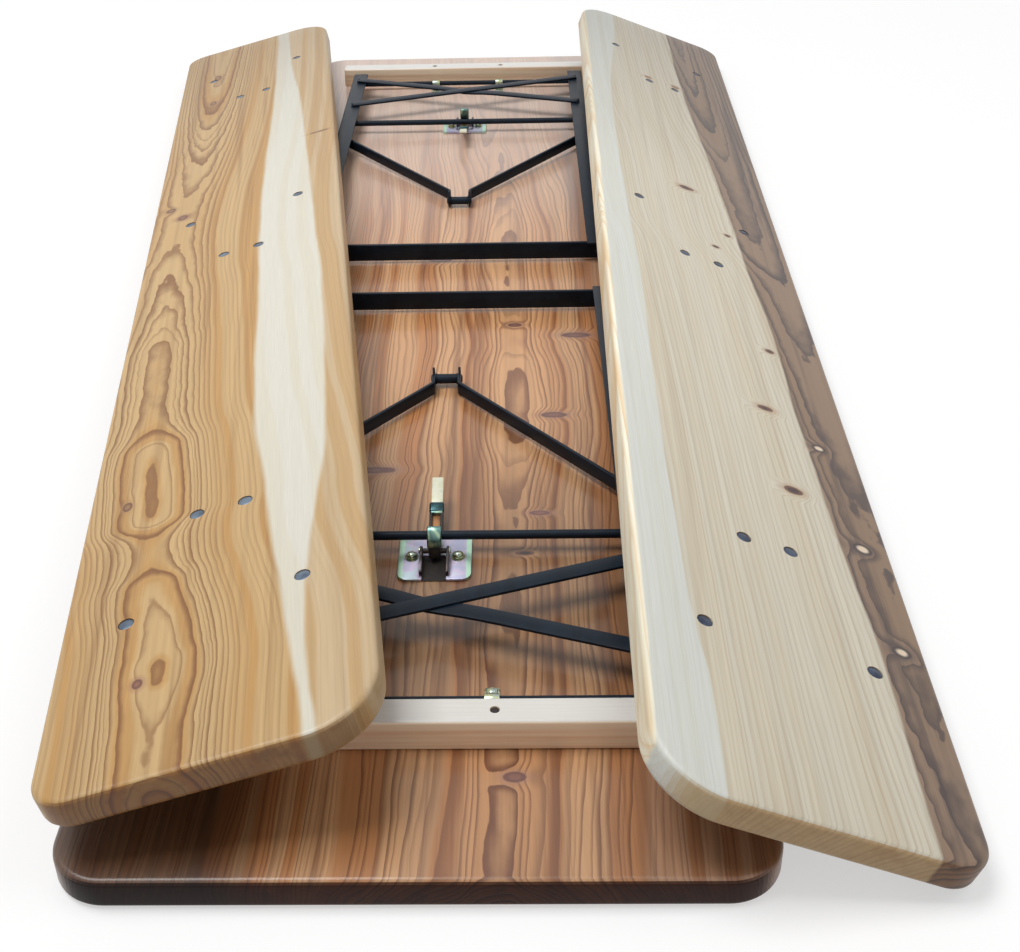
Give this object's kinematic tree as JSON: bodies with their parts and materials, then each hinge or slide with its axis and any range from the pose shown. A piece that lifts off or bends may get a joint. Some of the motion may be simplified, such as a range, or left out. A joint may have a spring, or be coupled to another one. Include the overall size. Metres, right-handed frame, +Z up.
{
  "type": "beer table set",
  "caption": "Folding wooden beer table lying face down with its steel leg frames folded, a folding bench tilted on each side",
  "frame": {"origin": "middle of the table's face, which lies on the floor in the packed set", "axes": "+Y along the table's length, away from the end nearest the viewer; +X across the table; +Z up, out of the table's underside"},
  "size_m": [1.0063, 2.0245, 0.1457],
  "materials": {
    "table_wood": "glossy lacquered softwood, reddish brown with dark streaks",
    "bench_wood": "glossy lacquered softwood, golden with cream sapwood and dark heartwood",
    "cleat_wood": "glossy lacquered pale softwood",
    "coated_steel": "satin dark blue powder coat",
    "zinc": "bright zinc with a faint iridescent passivation"
  },
  "bodies": {
    "root": {"table_top": "table_wood", "table_near_cleat": "cleat_wood", "table_near_hinge_bar": "zinc", "table_near_latch_bracket": "zinc", "table_far_cleat": "cleat_wood", "table_far_hinge_bar": "zinc", "table_far_latch_bracket": "zinc"},
    "left_bench": {"left_seat": "bench_wood", "left_near_cleat": "cleat_wood", "left_near_hinge_bar": "zinc", "left_near_latch_bracket": "zinc", "left_middle_cleat": "cleat_wood", "left_middle_hinge_bar": "zinc", "left_middle_latch_bracket": "zinc", "left_far_cleat": "cleat_wood", "left_far_hinge_bar": "zinc", "left_far_latch_bracket": "zinc"},
    "right_bench": {"right_seat": "bench_wood", "right_near_cleat": "cleat_wood", "right_near_hinge_bar": "zinc", "right_near_latch_bracket": "zinc", "right_middle_cleat": "cleat_wood", "right_middle_hinge_bar": "zinc", "right_middle_latch_bracket": "zinc", "right_far_cleat": "cleat_wood", "right_far_hinge_bar": "zinc", "right_far_latch_bracket": "zinc"},
    "table_near_leg": {"table_near_leg_frame": "coated_steel"},
    "table_near_strut": {"table_near_strut": "coated_steel"},
    "table_near_latch": {"table_near_latch_lever": "zinc"},
    "table_far_leg": {"table_far_leg_frame": "coated_steel"},
    "table_far_strut": {"table_far_strut": "coated_steel"},
    "table_far_latch": {"table_far_latch_lever": "zinc"},
    "left_near_leg": {"left_near_leg_frame": "coated_steel"},
    "left_near_strut": {"left_near_strut": "coated_steel"},
    "left_near_latch": {"left_near_latch_lever": "zinc"},
    "left_middle_leg": {"left_middle_leg_frame": "coated_steel"},
    "left_middle_strut": {"left_middle_strut": "coated_steel"},
    "left_middle_latch": {"left_middle_latch_lever": "zinc"},
    "left_far_leg": {"left_far_leg_frame": "coated_steel"},
    "left_far_strut": {"left_far_strut": "coated_steel"},
    "left_far_latch": {"left_far_latch_lever": "zinc"},
    "right_near_leg": {"right_near_leg_frame": "coated_steel"},
    "right_near_strut": {"right_near_strut": "coated_steel"},
    "right_near_latch": {"right_near_latch_lever": "zinc"},
    "right_middle_leg": {"right_middle_leg_frame": "coated_steel"},
    "right_middle_strut": {"right_middle_strut": "coated_steel"},
    "right_middle_latch": {"right_middle_latch_lever": "zinc"},
    "right_far_leg": {"right_far_leg_frame": "coated_steel"},
    "right_far_strut": {"right_far_strut": "coated_steel"},
    "right_far_latch": {"right_far_latch_lever": "zinc"}
  },
  "joints": [
    {"name": "left_bench_lift", "type": "slide", "parent": "root", "child": "left_bench", "axis": [-0.5, 0, 0.866], "range_m": [0, 1.8]},
    {"name": "right_bench_lift", "type": "slide", "parent": "root", "child": "right_bench", "axis": [0.5, 0, 0.866], "range_m": [0, 1.8]},
    {"name": "table_near_leg_fold", "type": "hinge", "parent": "root", "child": "table_near_leg", "pos_m": [0, -0.8154, 0.0375], "axis": [1, 0, 0], "range_deg": [0, 90]},
    {"name": "table_near_strut_fold", "type": "hinge", "parent": "table_near_leg", "child": "table_near_strut", "pos_m": [0, -0.5884, 0.045], "axis": [1, 0, 0], "range_deg": [-131.78, 0]},
    {"name": "table_near_latch_press", "type": "hinge", "parent": "root", "child": "table_near_latch", "pos_m": [0, -0.6064, 0.0395], "axis": [1, 0, 0], "range_deg": [-3, 0], "stiffness_Nm_per_rad": 0.8, "springref_deg": 8.59},
    {"name": "table_far_leg_fold", "type": "hinge", "parent": "root", "child": "table_far_leg", "pos_m": [0, 0.8154, 0.0375], "axis": [-1, 0, 0], "range_deg": [0, 90]},
    {"name": "table_far_strut_fold", "type": "hinge", "parent": "table_far_leg", "child": "table_far_strut", "pos_m": [0, 0.5884, 0.045], "axis": [-1, 0, 0], "range_deg": [-131.78, 0]},
    {"name": "table_far_latch_press", "type": "hinge", "parent": "root", "child": "table_far_latch", "pos_m": [0, 0.6064, 0.0395], "axis": [-1, 0, 0], "range_deg": [-3, 0], "stiffness_Nm_per_rad": 0.8, "springref_deg": 8.59},
    {"name": "left_near_leg_fold", "type": "hinge", "parent": "left_bench", "child": "left_near_leg", "pos_m": [-0.16708, -0.78356, 0.07618], "axis": [-0.9653, -0.132, -0.2254], "range_deg": [0, 90]},
    {"name": "left_near_strut_fold", "type": "hinge", "parent": "left_near_leg", "child": "left_near_strut", "pos_m": [-0.18894, -0.61157, 0.06906], "axis": [-0.9653, -0.132, -0.2254], "range_deg": [-133.72, 0]},
    {"name": "left_near_latch_press", "type": "hinge", "parent": "left_bench", "child": "left_near_latch", "pos_m": [-0.18749, -0.63091, 0.07416], "axis": [-0.9653, -0.132, -0.2254], "range_deg": [-2, 0], "stiffness_Nm_per_rad": 0.8, "springref_deg": 8.59},
    {"name": "left_middle_leg_fold", "type": "hinge", "parent": "left_bench", "child": "left_middle_leg", "pos_m": [-0.28781, 0.14226, 0.05092], "axis": [0.9653, 0.132, 0.2254], "range_deg": [0, 90]},
    {"name": "left_middle_strut_fold", "type": "hinge", "parent": "left_middle_leg", "child": "left_middle_strut", "pos_m": [-0.26482, -0.02971, 0.05318], "axis": [0.9653, 0.132, 0.2254], "range_deg": [-133.72, 0]},
    {"name": "left_middle_latch_press", "type": "hinge", "parent": "left_bench", "child": "left_middle_latch", "pos_m": [-0.26841, -0.0104, 0.05723], "axis": [0.9653, 0.132, 0.2254], "range_deg": [-2, 0], "stiffness_Nm_per_rad": 0.8, "springref_deg": 8.59},
    {"name": "left_far_leg_fold", "type": "hinge", "parent": "left_bench", "child": "left_far_leg", "pos_m": [-0.37753, 0.83018, 0.03215], "axis": [0.9653, 0.132, 0.2254], "range_deg": [0, 90]},
    {"name": "left_far_strut_fold", "type": "hinge", "parent": "left_far_leg", "child": "left_far_strut", "pos_m": [-0.35453, 0.65821, 0.03441], "axis": [0.9653, 0.132, 0.2254], "range_deg": [-133.72, 0]},
    {"name": "left_far_latch_press", "type": "hinge", "parent": "left_bench", "child": "left_far_latch", "pos_m": [-0.35812, 0.67752, 0.03846], "axis": [0.9653, 0.132, 0.2254], "range_deg": [-2, 0], "stiffness_Nm_per_rad": 0.8, "springref_deg": 8.59},
    {"name": "right_near_leg_fold", "type": "hinge", "parent": "right_bench", "child": "right_near_leg", "pos_m": [0.29357, -0.81058, 0.04362], "axis": [-0.9343, 0.0184, 0.3561], "range_deg": [0, 90]},
    {"name": "right_near_strut_fold", "type": "hinge", "parent": "right_near_leg", "child": "right_near_strut", "pos_m": [0.29611, -0.6371, 0.04129], "axis": [-0.9343, 0.0184, 0.3561], "range_deg": [-133.72, 0]},
    {"name": "right_near_latch_press", "type": "hinge", "parent": "right_bench", "child": "right_near_latch", "pos_m": [0.2974, -0.65663, 0.04568], "axis": [-0.9343, 0.0184, 0.3561], "range_deg": [-2, 0], "stiffness_Nm_per_rad": 0.8, "springref_deg": 8.59},
    {"name": "right_middle_leg_fold", "type": "hinge", "parent": "right_bench", "child": "right_middle_leg", "pos_m": [0.31199, 0.12324, 0.04362], "axis": [0.9343, -0.0184, -0.3561], "range_deg": [0, 90]},
    {"name": "right_middle_strut_fold", "type": "hinge", "parent": "right_middle_leg", "child": "right_middle_strut", "pos_m": [0.30768, -0.05021, 0.04129], "axis": [0.9343, -0.0184, -0.3561], "range_deg": [-133.72, 0]},
    {"name": "right_middle_latch_press", "type": "hinge", "parent": "right_bench", "child": "right_middle_latch", "pos_m": [0.30974, -0.03075, 0.04568], "axis": [0.9343, -0.0184, -0.3561], "range_deg": [-2, 0], "stiffness_Nm_per_rad": 0.8, "springref_deg": 8.59},
    {"name": "right_far_leg_fold", "type": "hinge", "parent": "right_bench", "child": "right_far_leg", "pos_m": [0.32568, 0.8171, 0.04362], "axis": [0.9343, -0.0184, -0.3561], "range_deg": [0, 90]},
    {"name": "right_far_strut_fold", "type": "hinge", "parent": "right_far_leg", "child": "right_far_strut", "pos_m": [0.32137, 0.64365, 0.04129], "axis": [0.9343, -0.0184, -0.3561], "range_deg": [-133.72, 0]},
    {"name": "right_far_latch_press", "type": "hinge", "parent": "right_bench", "child": "right_far_latch", "pos_m": [0.32343, 0.66312, 0.04568], "axis": [0.9343, -0.0184, -0.3561], "range_deg": [-2, 0], "stiffness_Nm_per_rad": 0.8, "springref_deg": 8.59}
  ],
  "couplings": [
    {"joint": "right_bench_lift", "follows": "left_bench_lift", "ratio": 1},
    {"joint": "table_near_leg_fold", "follows": "left_bench_lift", "rad_per_m": 0.87266},
    {"joint": "table_near_strut_fold", "follows": "left_bench_lift", "rad_per_m": -1.2777},
    {"joint": "table_far_leg_fold", "follows": "left_bench_lift", "rad_per_m": 0.87266},
    {"joint": "table_far_strut_fold", "follows": "left_bench_lift", "rad_per_m": -1.2777},
    {"joint": "left_near_leg_fold", "follows": "left_bench_lift", "rad_per_m": 0.87266},
    {"joint": "left_near_strut_fold", "follows": "left_bench_lift", "rad_per_m": -1.2965},
    {"joint": "left_middle_leg_fold", "follows": "left_bench_lift", "rad_per_m": 0.87266},
    {"joint": "left_middle_strut_fold", "follows": "left_bench_lift", "rad_per_m": -1.2965},
    {"joint": "left_far_leg_fold", "follows": "left_bench_lift", "rad_per_m": 0.87266},
    {"joint": "left_far_strut_fold", "follows": "left_bench_lift", "rad_per_m": -1.2965},
    {"joint": "right_near_leg_fold", "follows": "left_bench_lift", "rad_per_m": 0.87266},
    {"joint": "right_near_strut_fold", "follows": "left_bench_lift", "rad_per_m": -1.2965},
    {"joint": "right_middle_leg_fold", "follows": "left_bench_lift", "rad_per_m": 0.87266},
    {"joint": "right_middle_strut_fold", "follows": "left_bench_lift", "rad_per_m": -1.2965},
    {"joint": "right_far_leg_fold", "follows": "left_bench_lift", "rad_per_m": 0.87266},
    {"joint": "right_far_strut_fold", "follows": "left_bench_lift", "rad_per_m": -1.2965}
  ]
}
